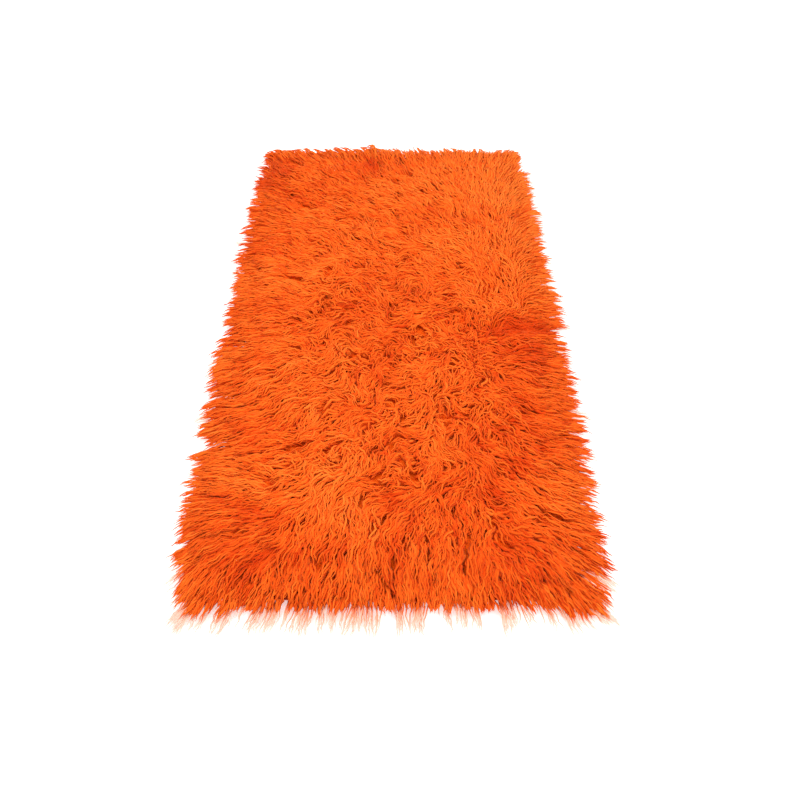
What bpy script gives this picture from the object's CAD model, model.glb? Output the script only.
import math

import bpy
import numpy as np
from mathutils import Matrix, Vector


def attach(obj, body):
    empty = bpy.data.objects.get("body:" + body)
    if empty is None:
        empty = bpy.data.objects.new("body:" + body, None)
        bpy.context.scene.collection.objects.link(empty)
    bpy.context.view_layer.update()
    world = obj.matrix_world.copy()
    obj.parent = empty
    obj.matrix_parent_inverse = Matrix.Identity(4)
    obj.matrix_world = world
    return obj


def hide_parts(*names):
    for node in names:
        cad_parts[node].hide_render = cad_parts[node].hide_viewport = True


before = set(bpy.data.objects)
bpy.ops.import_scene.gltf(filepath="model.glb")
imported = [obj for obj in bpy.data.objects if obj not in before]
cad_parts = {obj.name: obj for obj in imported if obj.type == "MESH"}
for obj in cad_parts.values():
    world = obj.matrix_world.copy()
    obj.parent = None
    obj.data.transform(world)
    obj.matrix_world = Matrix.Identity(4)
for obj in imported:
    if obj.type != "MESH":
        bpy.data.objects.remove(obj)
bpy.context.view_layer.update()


# Woven ground cloth.
# A coarse plain-woven wool cloth, dyed with the pile. It lies flat on the floor, the yarns of the
# pile are knotted into it row by row, and its heavy weft shows as ribs on the underside.

CLOTH_WIDTH = 0.70
CLOTH_LENGTH = 1.40
CLOTH_THICK = 0.0028
CLOTH_LIFT = 0.0004
CORNER_DRAW_IN = 0.012
SIDE_DRAW_POWER = 8
END_DRAW_POWER = 6


def draw_in(x, y):
    """The rug's plan falls back a little at its corners."""
    u = x / (CLOTH_WIDTH / 2.0)
    v = y / (CLOTH_LENGTH / 2.0)
    drawn_x = x * (1.0 - CORNER_DRAW_IN * v ** SIDE_DRAW_POWER)
    drawn_y = y * (1.0 - CORNER_DRAW_IN * u ** END_DRAW_POWER)
    return drawn_x, drawn_y


bpy.ops.object.select_all(action="DESELECT")
bpy.ops.mesh.primitive_grid_add(x_subdivisions=28, y_subdivisions=56, size=1.0)
cloth = bpy.context.active_object
cloth.name = "ground_cloth"
for vertex in cloth.data.vertices:
    x, y = draw_in(vertex.co.x * CLOTH_WIDTH, vertex.co.y * CLOTH_LENGTH)
    vertex.co = Vector((x, y, CLOTH_LIFT + CLOTH_THICK))
thick = cloth.modifiers.new("thickness", "SOLIDIFY")
thick.thickness = CLOTH_THICK
thick.offset = -1.0
bpy.ops.object.modifier_apply(modifier=thick.name)


def new_material(name, roughness):
    """A material with one Principled shader, and its node tree."""
    material = bpy.data.materials.new(name)
    material.use_nodes = True
    shader = material.node_tree.nodes["Principled BSDF"]
    shader.inputs["Roughness"].default_value = roughness
    return material, material.node_tree, shader


def add(tree, kind, **settings):
    """A node with its settings; a number for an input goes by the input's name."""
    node = tree.nodes.new(kind)
    for name, value in settings.items():
        if hasattr(node, name):
            setattr(node, name, value)
        else:
            node.inputs[name.replace("_", " ")].default_value = value
    return node


def mix_colours(tree, factor, low, high):
    """A colour mix whose ends are colours or sockets, driven by a factor socket."""
    node = add(tree, "ShaderNodeMix", data_type="RGBA")
    tree.links.new(factor, node.inputs[0])
    for socket, value in ((node.inputs[6], low), (node.inputs[7], high)):
        if isinstance(value, bpy.types.NodeSocket):
            tree.links.new(value, socket)
        else:
            socket.default_value = value
    return node.outputs[2]


WEFT_PITCH = 0.0042
WARP_PITCH = WEFT_PITCH * 1.5
BANDS_A_METRE = 0.314
cloth_material, tree, shader = new_material("ground_weave", 0.9)
place = add(tree, "ShaderNodeTexCoord")
ribs = add(tree, "ShaderNodeTexWave", wave_type="BANDS", bands_direction="Y", wave_profile="SIN")
ribs.inputs["Scale"].default_value = BANDS_A_METRE / WEFT_PITCH
ribs.inputs["Distortion"].default_value = 1.2
ribs.inputs["Detail"].default_value = 2.0
ribs.inputs["Detail Scale"].default_value = 2.5
warps = add(tree, "ShaderNodeTexWave", wave_type="BANDS", bands_direction="X", wave_profile="SIN")
warps.inputs["Scale"].default_value = BANDS_A_METRE / WARP_PITCH
warps.inputs["Distortion"].default_value = 0.8
weave = add(tree, "ShaderNodeMath", operation="MULTIPLY")
slub = add(tree, "ShaderNodeTexNoise", Scale=60.0, Detail=3.0)
for texture in (ribs, warps, slub):
    tree.links.new(place.outputs["Object"], texture.inputs["Vector"])
tree.links.new(ribs.outputs["Fac"], weave.inputs[0])
tree.links.new(warps.outputs["Fac"], weave.inputs[1])
shade = add(tree, "ShaderNodeMath", operation="MULTIPLY_ADD")
shade.inputs[1].default_value = 0.65
tree.links.new(slub.outputs["Fac"], shade.inputs[0])
tree.links.new(weave.outputs[0], shade.inputs[2])
tree.links.new(mix_colours(tree, shade.outputs[0], (0.42, 0.036, 0.003, 1), (0.80, 0.115, 0.014, 1)),
               shader.inputs["Base Color"])
bump = add(tree, "ShaderNodeBump", Strength=0.8, Distance=0.0012)
tree.links.new(weave.outputs[0], bump.inputs["Height"])
tree.links.new(bump.outputs["Normal"], shader.inputs["Normal"])
shader.inputs["Sheen Weight"].default_value = 0.2
cloth.data.materials.append(cloth_material)
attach(cloth, "root")


# Packed foot of the pile.
# The lower part of the pile, where the yarns stand so close together that they fill the height.
# It is the matted wool that shows down in the gaps between the locks.

COMB_ACROSS = (-0.40, -0.27, -0.13, 0.00, 0.13, 0.26, 0.40)
COMB_ALONG = (-0.70, -0.58, -0.46, -0.34, -0.21, -0.07, 0.10, 0.30, 0.50, 0.70)
COMB_HEADINGS = (
    # degrees from +X towards +Y, one row for each place along the rug
    (235, 250, 265, 270, 270, 290, 320),
    (205, 200, 260, 257, 265, 320, 345),
    (180, 170, 225, 190, 255, 320, 350),
    (190, 205, 215, 235, 270, 330, 355),
    (195, 212, 224, 225, 232, 340, 355),
    (190, 182, 192, 165, 168, 350, 0),
    (180, 172, 162, 160, 165, 110, 5),
    (172, 158, 150, 147, 138, 95, 18),
    (160, 150, 146, 142, 130, 85, 30),
    (138, 124, 118, 110, 100, 84, 55),
)
CREASES = (
    # middle x and y, heading in degrees, half length, depth
    (-0.066, 0.712, 90, 0.030, -0.014),
    (0.320, -0.035, 4, 0.110, 0.017),
    (0.200, 0.370, 150, 0.050, 0.014),
    (0.350, 0.430, 40, 0.045, 0.014),
    (-0.060, 0.640, 112, 0.060, 0.014),
    (-0.300, 0.500, 130, 0.060, 0.012),
    (-0.180, -0.100, 200, 0.050, 0.014),
    (-0.290, -0.520, 158, 0.090, 0.015),
    (-0.250, -0.640, 215, 0.045, 0.014),
    (0.210, -0.470, 268, 0.070, 0.014),
)
CREASE_HALF_WIDTH = 0.018
SWELLS = (
    # wavelength, heading in degrees, phase in degrees, swing
    (0.31, 25, 40, 0.0022),
    (0.23, 118, 200, 0.0019),
    (0.17, 74, 310, 0.0016),
)
PILE_TOP = 0.046
RIM_TOP = 0.036
FAR_RIM_RISE = 0.007
NEAR_RIM_DROP = 0.009
NEAR_RIM_FROM = -0.55
NEAR_RIM_RUN = 0.12
FAR_RIM_FROM = 0.5
FAR_RIM_RUN = 0.2
FAR_TUFT_SIZE = 0.055
RIM_ROUND = 0.070
RIM_REACH = 0.086
RIM_FALL_POWER = 0.75
RIM_END_LEVEL = 0.003
TUFT_SIZE = 0.046
TUFT_SWING = 0.0054
TUFT_SEED = 41
FAR_TUFT_SEED = 17
CHANCE_CELLS = 97


def smooth_step(t):
    t = np.clip(t, 0.0, 1.0)
    return t * t * (3.0 - 2.0 * t)


def station(values, place):
    """For each place, the index of the value before it, and the share of the way to the next."""
    values = np.array(values)
    place = np.clip(place, values[0], values[-1])
    index = np.clip(np.searchsorted(values, place, side="right") - 1, 0, len(values) - 2)
    return index, smooth_step((place - values[index]) / (values[index + 1] - values[index]))


def comb(x, y):
    """The way the pile lies at each place; shorter where the headings round it disagree."""
    column, across = station(COMB_ACROSS, x)
    row, ahead = station(COMB_ALONG, y)
    headings = np.radians(np.array(COMB_HEADINGS, dtype=float))
    way_x = np.zeros_like(across)
    way_y = np.zeros_like(across)
    for step_y, weight_y in ((0, 1.0 - ahead), (1, ahead)):
        for step_x, weight_x in ((0, 1.0 - across), (1, across)):
            angle = headings[row + step_y, column + step_x]
            way_x += np.cos(angle) * weight_x * weight_y
            way_y += np.sin(angle) * weight_x * weight_y
    return way_x, way_y


def wander(x, y, cell, seed):
    """Smooth chance values from -1 to 1, with swells about one cell wide."""
    values = np.random.default_rng(seed).uniform(-1.0, 1.0, (CHANCE_CELLS, CHANCE_CELLS))
    across = np.asarray(x) / cell + 1000.0
    ahead = np.asarray(y) / cell + 1000.0
    column = np.floor(across).astype(int)
    row = np.floor(ahead).astype(int)
    share_x = smooth_step(across - column)
    share_y = smooth_step(ahead - row)
    left = column % CHANCE_CELLS
    right = (column + 1) % CHANCE_CELLS
    near = row % CHANCE_CELLS
    far = (row + 1) % CHANCE_CELLS
    low = values[near, left] * (1 - share_x) + values[near, right] * share_x
    high = values[far, left] * (1 - share_x) + values[far, right] * share_x
    return low * (1 - share_y) + high * share_y


def rim_room(x, y):
    """How far inside the ground cloth's edge each place is; past the edge it is below zero."""
    along = np.clip(np.abs(y) / CLOTH_LENGTH * 2, 0, 1)
    across = np.clip(np.abs(x) / CLOTH_WIDTH * 2, 0, 1)
    half_x = CLOTH_WIDTH / 2.0 * (1.0 - CORNER_DRAW_IN * along ** SIDE_DRAW_POWER)
    half_y = CLOTH_LENGTH / 2.0 * (1.0 - CORNER_DRAW_IN * across ** END_DRAW_POWER)
    gap_x = half_x - np.abs(x)
    gap_y = half_y - np.abs(y)
    outside = np.hypot(np.minimum(gap_x, 0.0), np.minimum(gap_y, 0.0))
    return np.where(outside > 0.0, -outside, np.minimum(gap_x, gap_y))


def strip_share(x, y, middle_x, middle_y, heading, half_length, half_width):
    """How much a soft-edged strip covers each place: 1 in its middle, 0 well outside it."""
    way_x = math.cos(math.radians(heading))
    way_y = math.sin(math.radians(heading))
    ahead = ((x - middle_x) * way_x + (y - middle_y) * way_y) / half_length
    aside = ((x - middle_x) * way_y - (y - middle_y) * way_x) / half_width
    return np.exp(-ahead ** 2 - aside ** 2)


def crease_depth(x, y):
    """How far the pile sinks at each place, where it parts in a crease, or stands up if below zero."""
    depth = np.zeros_like(x)
    for middle_x, middle_y, heading, half_length, deep in CREASES:
        share = strip_share(x, y, middle_x, middle_y, heading, half_length, CREASE_HALF_WIDTH)
        depth = depth + deep * share
    return depth


def pile_height(x, y):
    """Height of the lying pile: waving in the middle, down to the floor past the rim."""
    height = PILE_TOP - crease_depth(x, y)
    for wavelength, heading, phase, swing in SWELLS:
        along = x * math.cos(math.radians(heading)) + y * math.sin(math.radians(heading))
        height = height + swing * np.sin(math.tau * along / wavelength + math.radians(phase))
    height = height + TUFT_SWING * wander(x, y, TUFT_SIZE, TUFT_SEED)
    room = rim_room(x, y)
    rim_top = RIM_TOP - NEAR_RIM_DROP * smooth_step((NEAR_RIM_FROM - y) / NEAR_RIM_RUN)
    far_tufts = 1.0 + wander(x, y, FAR_TUFT_SIZE, FAR_TUFT_SEED)
    rim_top = rim_top + FAR_RIM_RISE * smooth_step((y - FAR_RIM_FROM) / FAR_RIM_RUN) * far_tufts
    rim_top = rim_top - crease_depth(x, y) * (1.0 - smooth_step(room / RIM_ROUND))
    height = rim_top + (height - rim_top) * smooth_step(room / RIM_ROUND)
    fall = np.clip(-room / RIM_REACH, 0.0, 1.0)
    return height * (1.0 - fall) ** RIM_FALL_POWER + RIM_END_LEVEL * fall


FOOT_COLUMNS = 60
FOOT_ROWS = 120
FOOT_SHARE_AT_EDGE = 0.38
FOOT_SHARE_INSIDE = 0.66
FOOT_SIDE_INSET = 0.006
FOOT_END_INSET = 0.008
FOOT_EDGE_RUN = 0.08
FOOT_LUMP_SIZE = 0.014
FOOT_LUMP_SWING = 0.002
FOOT_SEED = 3

bpy.ops.object.select_all(action="DESELECT")
bpy.ops.mesh.primitive_grid_add(x_subdivisions=FOOT_COLUMNS, y_subdivisions=FOOT_ROWS, size=1.0)
foot = bpy.context.active_object
foot.name = "pile_foot"
places = np.empty(len(foot.data.vertices) * 3)
foot.data.vertices.foreach_get("co", places)
places = places.reshape(-1, 3)
foot_x = places[:, 0] * (CLOTH_WIDTH - 2 * FOOT_SIDE_INSET)
foot_y = places[:, 1] * (CLOTH_LENGTH - 2 * FOOT_END_INSET)
places[:, 0], places[:, 1] = draw_in(foot_x, foot_y)
inward = smooth_step(rim_room(places[:, 0], places[:, 1]) / FOOT_EDGE_RUN)
places[:, 2] = pile_height(places[:, 0], places[:, 1])
places[:, 2] *= FOOT_SHARE_AT_EDGE + (FOOT_SHARE_INSIDE - FOOT_SHARE_AT_EDGE) * inward
places[:, 2] += wander(places[:, 0], places[:, 1], FOOT_LUMP_SIZE, FOOT_SEED) * FOOT_LUMP_SWING
foot.data.vertices.foreach_set("co", places.ravel())
bpy.ops.object.mode_set(mode="EDIT")
bpy.ops.mesh.select_all(action="DESELECT")
bpy.ops.mesh.select_mode(type="EDGE")
bpy.ops.mesh.select_non_manifold()
bpy.ops.mesh.extrude_edges_move()
bpy.ops.transform.resize(value=(1.0, 1.0, 0.0), center_override=(0.0, 0.0, CLOTH_LIFT + CLOTH_THICK))
bpy.ops.mesh.edge_face_add()
bpy.ops.mesh.select_all(action="SELECT")
bpy.ops.mesh.normals_make_consistent(inside=False)
bpy.ops.object.mode_set(mode="OBJECT")
bpy.ops.object.shade_smooth()

foot_material, tree, shader = new_material("matted_wool", 0.95)
place = add(tree, "ShaderNodeTexCoord")
fibres = add(tree, "ShaderNodeTexNoise", Scale=240.0, Detail=4.0, Roughness=0.7, Distortion=1.2)
tree.links.new(place.outputs["Object"], fibres.inputs["Vector"])
tree.links.new(mix_colours(tree, fibres.outputs["Fac"], (0.80, 0.060, 0.001, 1), (1.0, 0.150, 0.005, 1)),
               shader.inputs["Base Color"])
bump = add(tree, "ShaderNodeBump", Strength=1.0, Distance=0.002)
tree.links.new(fibres.outputs["Fac"], bump.inputs["Height"])
tree.links.new(bump.outputs["Normal"], shader.inputs["Normal"])
shader.inputs["Specular IOR Level"].default_value = 0.1
foot.data.materials.append(foot_material)
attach(foot, "root")


# Pile yarns.
# Loose, hardly twisted wool yarns about 90 mm long, each knotted into the ground cloth. They cling
# together in locks and lie over each other like thatch, some of them matted flat underneath. They
# end in thin points, and at the near edge many are worn pale at the tip.

YARN_LENGTH = 0.094
YARN_RADIUS = 0.0023
LOCK_PITCH = 0.0181
MATTED_SHARE = 0.30
MATTED_RADIUS = 0.0054
YARNS_A_LOCK = 6
YARN_STATIONS = np.array((0.0, 0.27, 0.44, 0.57, 0.69, 0.80, 0.91, 1.0))
YARN_SWELL = np.array((0.0, 1.0, 1.0, 1.0, 0.96, 0.85, 0.60, 0.0))
CLIMB_INSIDE = np.array((0.03, 0.68, 0.88, 0.94, 0.96, 0.94, 0.89, 0.80))
CLIMB_AT_RIM = np.array((0.03, 0.58, 0.79, 0.89, 0.94, 0.97, 0.97, 0.93))
STEPS = len(YARN_STATIONS)
SIDES = 3
SWIRL_SIZE = 0.054
SWIRL_COMBED = 0.05
SWIRL_RUFFLED = 0.42
SWIRL_SEED = 11
RIPPLE_SIZE = 0.030
RIPPLE_COMBED = 11.0
RIPPLE_RUFFLED = 38.0
RIPPLE_SEED = 12
COMBING_LOST = 0.25
PILE_SPREAD = 0.058
NEAR_REACH = 0.035
NEAR_SHORTEST = 0.040
NEAR_RAGGED = 0.014
LOCK_SWAY = 17.0
YARN_SWAY = 8.0
CRIMP_LENGTH = 0.027
CRIMP_SWING = 0.0024
DIVE_SWING = 0.0014
STANDING_FROM = 0.054
STANDING_TO = 0.065
LOWEST_YARN = 0.0022
SHADES = (
    # middle x and y, heading in degrees, half length, half width, how much deeper the dye looks
    (0.300, -0.030, 4, 0.085, 0.030, 0.50),
    (0.345, -0.100, 90, 0.060, 0.035, 0.22),
    (0.235, -0.640, 30, 0.085, 0.070, 0.26),
    (0.186, -0.462, 112, 0.120, 0.022, 0.26),
    (0.275, -0.270, 90, 0.024, 0.024, 0.34),
    (0.255, -0.437, 60, 0.030, 0.024, 0.30),
    (0.108, -0.137, 0, 0.024, 0.018, 0.34),
    (0.114, 0.020, 60, 0.045, 0.020, 0.26),
    (0.000, -0.520, 90, 0.040, 0.020, 0.28),
    (0.005, -0.640, 90, 0.045, 0.020, 0.28),
    (-0.262, -0.660, 60, 0.045, 0.036, 0.20),
    (-0.263, -0.550, 152, 0.090, 0.020, 0.24),
    (-0.190, -0.105, 10, 0.034, 0.018, 0.24),
    (-0.080, 0.650, 90, 0.034, 0.030, 0.40),
    (-0.315, 0.615, 150, 0.045, 0.024, 0.26),
    (-0.278, 0.497, 138, 0.090, 0.020, 0.20),
    (0.355, 0.420, 60, 0.045, 0.022, 0.34),
    (-0.120, -0.105, 0, 0.060, 0.045, -0.26),
    (-0.115, -0.467, 90, 0.060, 0.045, -0.22),
    (0.270, 0.520, 60, 0.200, 0.110, -0.20),
    (-0.335, -0.020, 90, 0.060, 0.050, -0.20),
)


def tangle(x, y):
    """How much the pile is ruffled at each place: 0 combed, 1 tangled."""
    across = np.exp(-((x - 0.02) / 0.24) ** 4)
    along = np.exp(-((y + 0.20) / 0.40) ** 4) + 0.45 * np.exp(-((y - 0.24) / 0.24) ** 2)
    return np.clip(across * along, 0.0, 1.0)


def flow(x, y):
    """The way the pile lies at each place and, as its length, how flat it lies there."""
    way_x, way_y = comb(x, y)
    loose = tangle(x, y)
    near = 0.002
    swirl_x = wander(x, y + near, SWIRL_SIZE, SWIRL_SEED) - wander(x, y - near, SWIRL_SIZE, SWIRL_SEED)
    swirl_y = wander(x - near, y, SWIRL_SIZE, SWIRL_SEED) - wander(x + near, y, SWIRL_SIZE, SWIRL_SEED)
    strength = (SWIRL_COMBED + SWIRL_RUFFLED * loose) * SWIRL_SIZE / (2.0 * near)
    way_x = way_x * (1.0 - COMBING_LOST * loose) + swirl_x * strength
    way_y = way_y * (1.0 - COMBING_LOST * loose) + swirl_y * strength
    ripple = np.radians(RIPPLE_COMBED + RIPPLE_RUFFLED * loose) * wander(x, y, RIPPLE_SIZE, RIPPLE_SEED)
    return np.arctan2(way_y, way_x) + ripple, np.hypot(way_x, way_y)


def deeper(x, y):
    """How much deeper the dye looks at each place, where the pile turns from the light."""
    depth = np.zeros_like(x)
    for middle_x, middle_y, heading, half_length, half_width, much in SHADES:
        depth = depth + much * strip_share(x, y, middle_x, middle_y, heading, half_length, half_width)
    return depth


def lock_places(dice):
    """A place that each lock runs over, evenly over the lying pile, each a little off its row."""
    pile_width = CLOTH_WIDTH + 2.0 * PILE_SPREAD
    pile_length = CLOTH_LENGTH + 2.0 * PILE_SPREAD
    rows = int(pile_length / (LOCK_PITCH * 0.866)) + 1
    columns = int(pile_width / LOCK_PITCH) + 1
    x = np.empty((rows, columns))
    y = np.empty((rows, columns))
    for row in range(rows):
        shift = 0.25 if row % 2 else -0.25
        x[row] = (np.arange(columns) + 0.5 + shift) / columns - 0.5
        y[row] = (row + 0.5) / rows - 0.5
    x = x.ravel() * pile_width + dice.uniform(-0.45, 0.45, x.size) * LOCK_PITCH
    y = y.ravel() * pile_length + dice.uniform(-0.45, 0.45, y.size) * LOCK_PITCH
    return x, y


def lying_share(flat):
    """How much of a strand's length goes along the rug, by how flat it lies."""
    return np.clip(0.25 + flat, 0.35, 1.0)


TRACE_STEPS = 6


def trace_back(x, y, length):
    """The knots of the strands that run over the given places, going back against the flow."""
    for step in range(TRACE_STEPS):
        angle, flat = flow(x, y)
        stride = length / TRACE_STEPS * lying_share(flat)
        x = x - np.cos(angle) * stride
        y = y - np.sin(angle) * stride
    return x, y


KNOT_INSET = 0.002


def inside_cloth(x, y):
    """Places moved onto the ground cloth, a little inside its edge."""
    x = np.clip(x, KNOT_INSET - CLOTH_WIDTH / 2.0, CLOTH_WIDTH / 2.0 - KNOT_INSET)
    y = np.clip(y, KNOT_INSET - CLOTH_LENGTH / 2.0, CLOTH_LENGTH / 2.0 - KNOT_INSET)
    return draw_in(x, y)


def follow(x, y, length, turn_by, sway, dice):
    """The plan of each strand from its knot to its tip, with its heading at each station."""
    count = len(x)
    phase = dice.uniform(0.0, math.tau, count)
    turns = dice.uniform(0.7, 1.4, count)
    places = np.empty((count, STEPS, 2))
    headings = np.empty((count, STEPS))
    at_x = x.copy()
    at_y = y.copy()
    for step in range(STEPS):
        angle, flat = flow(at_x, at_y)
        swing = np.radians(sway * (0.75 + 0.25 * tangle(at_x, at_y)))
        angle += turn_by + swing * np.sin(phase + math.tau * turns * YARN_STATIONS[step])
        places[:, step, 0] = at_x
        places[:, step, 1] = at_y
        headings[:, step] = angle
        if step + 1 < STEPS:
            stride = length * (YARN_STATIONS[step + 1] - YARN_STATIONS[step])
            stride = stride * lying_share(flat) * (0.55 if step == 0 else 1.0)
            at_x = at_x + np.cos(angle) * stride
            at_y = at_y + np.sin(angle) * stride
    return places, headings


def yarn_mesh(name, path, radius, taper, squash, tint, turn):
    """One mesh of three-sided yarns, drawn to a point at the root and at the tip."""
    count = len(path)
    tangent = np.gradient(path, axis=1)
    tangent /= np.linalg.norm(tangent, axis=2, keepdims=True) + 1e-9
    side = np.cross(tangent, (0.0, 0.0, 1.0))
    side /= np.linalg.norm(side, axis=2, keepdims=True) + 1e-9
    up = np.cross(side, tangent) * squash[:, None, None]
    rings = STEPS - 2
    points = np.empty((count, rings * SIDES + 2, 3))
    for ring in range(rings):
        for corner in range(SIDES):
            angle = turn + math.tau * corner / SIDES
            swell = (radius * YARN_SWELL[ring + 1] ** taper)[:, None]
            offset = side[:, ring + 1] * np.cos(angle)[:, None] + up[:, ring + 1] * np.sin(angle)[:, None]
            points[:, ring * SIDES + corner] = path[:, ring + 1] + offset * swell
    root = rings * SIDES
    tip = root + 1
    points[:, root] = path[:, 0]
    points[:, tip] = path[:, -1]
    points[:, :, 2] = np.maximum(points[:, :, 2], 0.0006)

    quads = []
    quad_u = []
    quad_v = []
    for ring in range(rings - 1):
        for corner in range(SIDES):
            low = ring * SIDES
            following = (corner + 1) % SIDES
            quads.append((low + corner, low + following, low + SIDES + following, low + SIDES + corner))
            quad_u.append((corner, corner + 1, corner + 1, corner))
            quad_v.append([YARN_STATIONS[ring + 1 + above] for above in (0, 0, 1, 1)])
    triangles = []
    triangle_u = []
    triangle_v = []
    last = (rings - 1) * SIDES
    for corner in range(SIDES):
        following = (corner + 1) % SIDES
        triangles.append((last + corner, last + following, tip))
        triangles.append((following, corner, root))
        triangle_u.append((corner, corner + 1, corner + 0.5))
        triangle_u.append((corner + 1, corner, corner + 0.5))
        triangle_v.append((YARN_STATIONS[-2], YARN_STATIONS[-2], 1.0))
        triangle_v.append((YARN_STATIONS[1], YARN_STATIONS[1], 0.0))
    quads = np.array(quads)
    triangles = np.array(triangles)

    first = (np.arange(count) * (rings * SIDES + 2))[:, None, None]
    corners = np.concatenate([(quads[None] + first).reshape(count, -1),
                              (triangles[None] + first).reshape(count, -1)], axis=1).ravel()
    sizes = np.tile(np.concatenate([np.full(len(quads), 4), np.full(len(triangles), 3)]), count)
    starts = np.concatenate([[0], np.cumsum(sizes)[:-1]])

    mesh = bpy.data.meshes.new(name)
    mesh.vertices.add(points.shape[0] * points.shape[1])
    mesh.vertices.foreach_set("co", points.ravel())
    mesh.loops.add(len(corners))
    mesh.loops.foreach_set("vertex_index", corners)
    mesh.polygons.add(len(sizes))
    mesh.polygons.foreach_set("loop_start", starts)
    mesh.polygons.foreach_set("use_smooth", np.ones(len(sizes), dtype=bool))

    local_u = np.concatenate([np.array(quad_u).ravel(), np.array(triangle_u).ravel()]) / SIDES
    local_v = np.concatenate([np.array(quad_v).ravel(), np.array(triangle_v).ravel()])
    u = 0.01 + 0.97 * tint[:, None] + 0.01 * local_u[None, :]
    v = np.broadcast_to(0.01 + 0.98 * local_v[None, :], u.shape)
    for map_name in ("yarn", "OFBake"):
        layer = mesh.uv_layers.new(name=map_name)
        layer.data.foreach_set("uv", np.stack([u, v], axis=2).ravel())
    mesh.update(calc_edges=True)
    mesh.validate()
    return mesh


yarn_material, tree, shader = new_material("dyed_wool_yarn", 0.9)
along = add(tree, "ShaderNodeUVMap", uv_map="yarn")
split = add(tree, "ShaderNodeSeparateXYZ")
tree.links.new(along.outputs[0], split.inputs[0])
tint_ramp = add(tree, "ShaderNodeValToRGB")
tint_ramp.color_ramp.elements[0].color = (0.720, 0.052, 0.001, 1)
tint_ramp.color_ramp.elements[1].color = (1.000, 0.212, 0.022, 1)
tint_ramp.color_ramp.elements.new(0.5).color = (0.940, 0.140, 0.009, 1)
tree.links.new(split.outputs["X"], tint_ramp.inputs["Fac"])
root_shade = add(tree, "ShaderNodeMapRange")
root_shade.inputs["From Min"].default_value = 0.10
root_shade.inputs["From Max"].default_value = 0.50
tree.links.new(split.outputs["Y"], root_shade.inputs["Value"])
dyed = mix_colours(tree, root_shade.outputs["Result"], (1.0, 0.112, 0.001, 1), tint_ramp.outputs["Color"])
worn_lock = add(tree, "ShaderNodeMath", operation="GREATER_THAN")
worn_lock.inputs[1].default_value = 0.955
tree.links.new(split.outputs["X"], worn_lock.inputs[0])
worn_tip = add(tree, "ShaderNodeMapRange")
worn_tip.inputs["From Min"].default_value = 0.30
worn_tip.inputs["From Max"].default_value = 0.75
tree.links.new(split.outputs["Y"], worn_tip.inputs["Value"])
tree.links.new(worn_lock.outputs[0], worn_tip.inputs["To Max"])
tree.links.new(mix_colours(tree, worn_tip.outputs["Result"], dyed, (1.0, 0.71, 0.58, 1)),
               shader.inputs["Base Color"])
shader.inputs["Specular IOR Level"].default_value = 0.12
shader.inputs["Sheen Weight"].default_value = 0.13
shader.inputs["Sheen Roughness"].default_value = 0.5
shader.inputs["Sheen Tint"].default_value = (1.0, 0.44, 0.15, 1.0)

# The locks: longer at the sides and the far end, and at the near end no longer than their room.
SIDE_FROM = 0.26
SIDE_RUN = 0.08
SIDE_LONGER = 0.04
NEAR_SIDE_LONGER = 0.05
RIGHT_LONGER = 0.07
FAR_LONGER = 0.13
PILE_SEED = 7

dice = np.random.default_rng(PILE_SEED)
lock_x, lock_y = lock_places(dice)
locks = len(lock_x)
lock_length = YARN_LENGTH * dice.uniform(0.84, 1.02, locks)
at_side = smooth_step((np.abs(lock_x) - SIDE_FROM) / SIDE_RUN)
at_right = smooth_step((lock_x - SIDE_FROM) / SIDE_RUN)
lock_length *= 1.0 + at_side * (SIDE_LONGER + NEAR_SIDE_LONGER * smooth_step((0.12 - lock_y) / 0.2))
lock_length *= 1.0 + RIGHT_LONGER * at_right * smooth_step((lock_y + 0.30) / 0.3)
lock_length *= 1.0 + FAR_LONGER * smooth_step((lock_y - 0.56) / 0.10)
lock_x, lock_y = trace_back(lock_x, lock_y, lock_length * dice.uniform(0.20, 0.85, locks))
lock_way = flow(lock_x, lock_y)[0]
room_ahead = lock_y + CLOTH_LENGTH / 2.0 + NEAR_REACH
room_ahead = room_ahead + dice.uniform(-NEAR_RAGGED, NEAR_RAGGED, locks)
room_ahead = np.clip(room_ahead, NEAR_SHORTEST, 1.0)
room_ahead /= np.clip(-np.sin(lock_way), 0.35, 1.0)
facing = smooth_step((-0.50 - lock_y) / 0.08) * (1.0 - 0.6 * at_side)
lock_length += facing * (np.minimum(lock_length, room_ahead) - lock_length)
lock_level = dice.uniform(0.92, 1.03, locks)
standing = np.clip(dice.normal(0.0, 1.0, locks), -1.6, 1.3)
lock_level *= 1.0 + 0.20 * smooth_step((lock_y - 0.58) / 0.08) * standing

# The dye of each lock: uneven from batch to batch of yarn, paler at the far right and far end.
DYE_PATCH_SIZE = 0.12
DYE_SEED = 21

lock_tint = 0.5 + 0.20 * wander(lock_x, lock_y, DYE_PATCH_SIZE, DYE_SEED) + dice.normal(0.0, 0.08, locks)
lock_tint += 0.60 * smooth_step((lock_y - 0.05) / 0.5) * (1.8 * lock_x + 0.02)
lock_tint += 0.12 * wander(lock_x, lock_y, TUFT_SIZE, TUFT_SEED)
lock_tint -= 0.16 * np.exp(-((lock_x - 0.19) / 0.13) ** 2) * smooth_step((0.10 - lock_y) / 0.2)
lock_tint -= 0.10 * smooth_step((-0.20 - lock_x) / 0.12) * smooth_step((0.20 - lock_y) / 0.2)
lock_tint += 0.35 * smooth_step((lock_y - 0.62) / 0.06)
lock_at_x, lock_at_y = inside_cloth(lock_x, lock_y)
lock_flat = flow(lock_at_x, lock_at_y)[1]
lock_turn = np.radians(3.0 + 14.0 * tangle(lock_x, lock_y) + 75.0 * np.clip(0.8 - lock_flat, 0.0, 0.8))
lock_turn *= dice.normal(0.0, 1.0, locks)
lock_plan = follow(lock_at_x, lock_at_y, lock_length, lock_turn, LOCK_SWAY, dice)[0]

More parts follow.
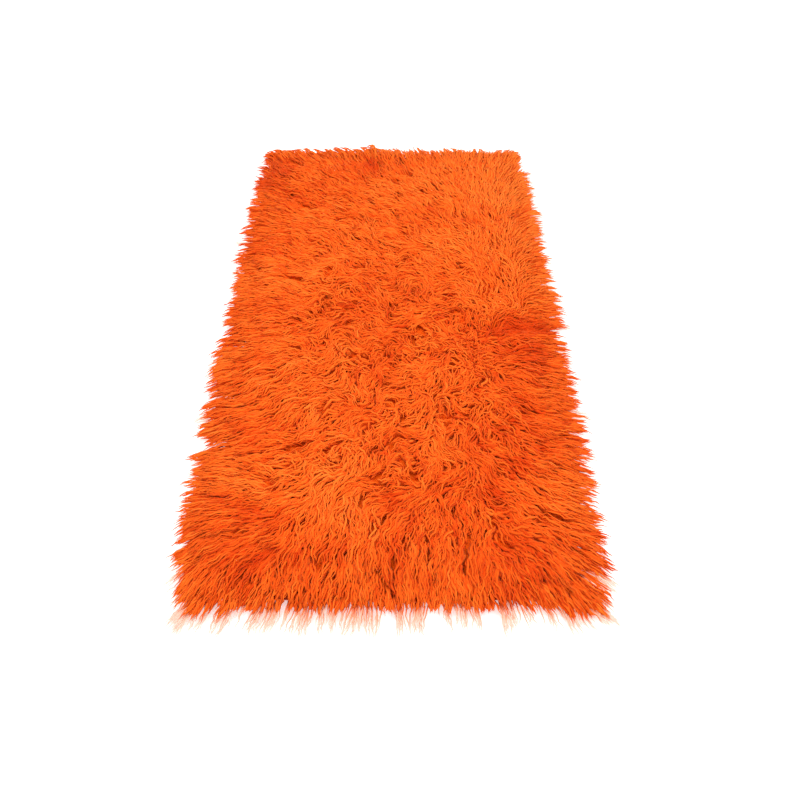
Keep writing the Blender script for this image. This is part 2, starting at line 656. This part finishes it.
# The yarns of each lock: their knots, lengths and plans, with the worn ones and the matted ones.
owner = np.repeat(np.arange(locks), YARNS_A_LOCK)
yarns = len(owner)
spread = LOCK_PITCH * 0.68 * np.sqrt(dice.uniform(0.0, 1.0, yarns))
around = dice.uniform(0.0, math.tau, yarns)
yarn_x = lock_x[owner] + spread * np.cos(around)
yarn_y = lock_y[owner] + spread * np.sin(around)
yarn_x, yarn_y = inside_cloth(yarn_x, yarn_y)
yarn_length = lock_length[owner] * dice.uniform(0.76, 1.03, yarns)
at_rim = 1.0 - smooth_step(rim_room(yarn_x, yarn_y) / 0.09)
at_edge = 1.0 - smooth_step(rim_room(lock_at_x, lock_at_y) / 0.030)
at_near_end = smooth_step((-0.60 - lock_at_y) / 0.06)
worn_locks = dice.uniform(0.0, 1.0, locks) < (0.03 + 0.55 * at_near_end) * at_edge
worn = worn_locks[owner]
yarn_length[worn] = (YARN_LENGTH * dice.uniform(0.90, 1.42, yarns))[worn]
matted = (dice.uniform(0.0, 1.0, yarns) < MATTED_SHARE + 0.12 * at_rim) & ~worn
yarn_length[matted] *= 1.0 - 0.18 * at_rim[matted]
yarn_turn = lock_turn[owner] + np.radians(2.5 + 3.0 * tangle(yarn_x, yarn_y)) * dice.normal(0.0, 1.0, yarns)
plan, headings = follow(yarn_x, yarn_y, yarn_length, yarn_turn, YARN_SWAY, dice)

# The yarns in space: gathered into their lock, crimped, and laid at the height of the pile.
gather = (0.37 - 0.14 * at_rim + 0.22 * worn)[:, None] * YARN_STATIONS ** 1.3
plan += (lock_plan[owner] - plan) * gather[:, :, None]
crimp = np.sin(math.tau * yarn_length[:, None] * YARN_STATIONS / CRIMP_LENGTH
               + math.tau * wander(yarn_x, yarn_y, 0.05, 31)[:, None]
               + dice.normal(0.0, 0.4, yarns)[:, None])
crimp *= CRIMP_SWING * (1.0 - 0.45 * at_rim)[:, None] * np.minimum(1.0, YARN_STATIONS * 3.0)
path = np.empty((yarns, STEPS, 3))
path[:, :, 0] = plan[:, :, 0] - np.sin(headings) * crimp
path[:, :, 1] = plan[:, :, 1] + np.cos(headings) * crimp
over = smooth_step(rim_room(path[:, :, 0], path[:, :, 1]) / 0.06)
climb = CLIMB_AT_RIM + (CLIMB_INSIDE - CLIMB_AT_RIM) * over
level = (lock_level[owner] + dice.normal(0.0, 0.034, yarns)) * (1.0 - 0.35 * worn)
level[matted] *= 0.91 - 0.24 * at_rim[matted]
path[:, :, 2] = pile_height(path[:, :, 0], path[:, :, 1]) * climb * level[:, None]
dive = np.sin(dice.uniform(0.0, math.tau, yarns)[:, None]
              + math.tau * dice.uniform(1.2, 2.2, yarns)[:, None] * YARN_STATIONS)
path[:, :, 2] += dive * DIVE_SWING * over * np.minimum(1.0, YARN_STATIONS * 3.0)
above = np.maximum(path[:, :, 2] - STANDING_FROM, 0.0)
path[:, :, 2] += (STANDING_TO - STANDING_FROM) * np.tanh(above / (STANDING_TO - STANDING_FROM)) - above
path[:, :, 2] = np.maximum(path[:, :, 2], LOWEST_YARN)

# The colour and the thickness of each yarn.
tint = lock_tint[owner] + dice.normal(0.0, 0.13, yarns)
tint -= 16.0 * crease_depth(path[:, 4, 0], path[:, 4, 1]) + deeper(path[:, 4, 0], path[:, 4, 1])
tint = np.clip(tint, 0.0, 0.93)
tint[worn] = 1.0
radius = YARN_RADIUS * dice.uniform(0.70, 1.08, yarns)
radius *= 1.0 - 0.10 * at_rim - 0.20 * worn
radius[matted] = MATTED_RADIUS
squash = np.where(matted, 0.5, 1.0)
taper = 1.0 + 1.4 * at_rim
turn = np.where(matted, math.pi / 2.0, dice.uniform(0.0, math.tau, yarns))

BANDS = 6
edges = np.linspace(-CLOTH_LENGTH / 2.0, CLOTH_LENGTH / 2.0, BANDS + 1)
edges[0] = -CLOTH_LENGTH
edges[-1] = CLOTH_LENGTH
for band in range(BANDS):
    chosen = (yarn_y >= edges[band]) & (yarn_y < edges[band + 1])
    name = "pile_band_%d" % (band + 1)
    mesh = yarn_mesh(name, path[chosen], radius[chosen], taper[chosen], squash[chosen], tint[chosen],
                     turn[chosen])
    mesh.materials.append(yarn_material)
    piece = bpy.data.objects.new(name, mesh)
    bpy.context.scene.collection.objects.link(piece)
    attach(piece, "root")
    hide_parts("rug")


# Floor and light.
# A plain pale floor under an even, soft studio light from above.

bpy.ops.object.select_all(action="DESELECT")
bpy.ops.mesh.primitive_plane_add(size=160.0, location=(0.0, 0.0, 0.0))
floor = bpy.context.active_object
floor.name = "floor"
floor_material, tree, shader = new_material("pale_floor", 0.8)
shader.inputs["Base Color"].default_value = (0.93, 0.93, 0.93, 1.0)
shader.inputs["Emission Color"].default_value = (1.0, 1.0, 1.0, 1.0)
shader.inputs["Emission Strength"].default_value = 0.35
floor.data.materials.append(floor_material)

world = bpy.data.worlds.new("studio")
bpy.context.scene.world = world
world.use_nodes = True
world.node_tree.nodes["Background"].inputs["Color"].default_value = (1.0, 1.0, 1.0, 1.0)
world.node_tree.nodes["Background"].inputs["Strength"].default_value = 1.06


def soft_light(name, place, aim, size, power):
    """A square soft box at a place, turned towards an aim."""
    light = bpy.data.lights.new(name, "AREA")
    light.size = size
    light.energy = power
    box = bpy.data.objects.new(name, light)
    box.location = place
    box.rotation_euler = (Vector(aim) - Vector(place)).to_track_quat("-Z", "Y").to_euler()
    bpy.context.scene.collection.objects.link(box)


soft_light("key_box", (-0.7, 0.3, 2.5), (0.0, 0.0, 0.0), 0.8, 23.0)
soft_light("fill_box", (1.4, -1.6, 2.0), (0.0, 0.0, 0.0), 1.6, 14.0)


# Camera.
# It stands past the near edge and looks down along the rug, as in the photograph.

CAMERA_PLACE = (0.0175, -1.2315, 1.219)
CAMERA_PITCH = 50.6
camera_data = bpy.data.cameras.new("camera")
camera_data.lens = 31.8
camera_data.sensor_width = 36.0
camera = bpy.data.objects.new("camera", camera_data)
camera.location = CAMERA_PLACE
camera.rotation_euler = (math.radians(90.0 - CAMERA_PITCH), 0.0, 0.0)
bpy.context.scene.collection.objects.link(camera)
bpy.context.scene.camera = camera
bpy.context.scene.view_settings.view_transform = "Standard"
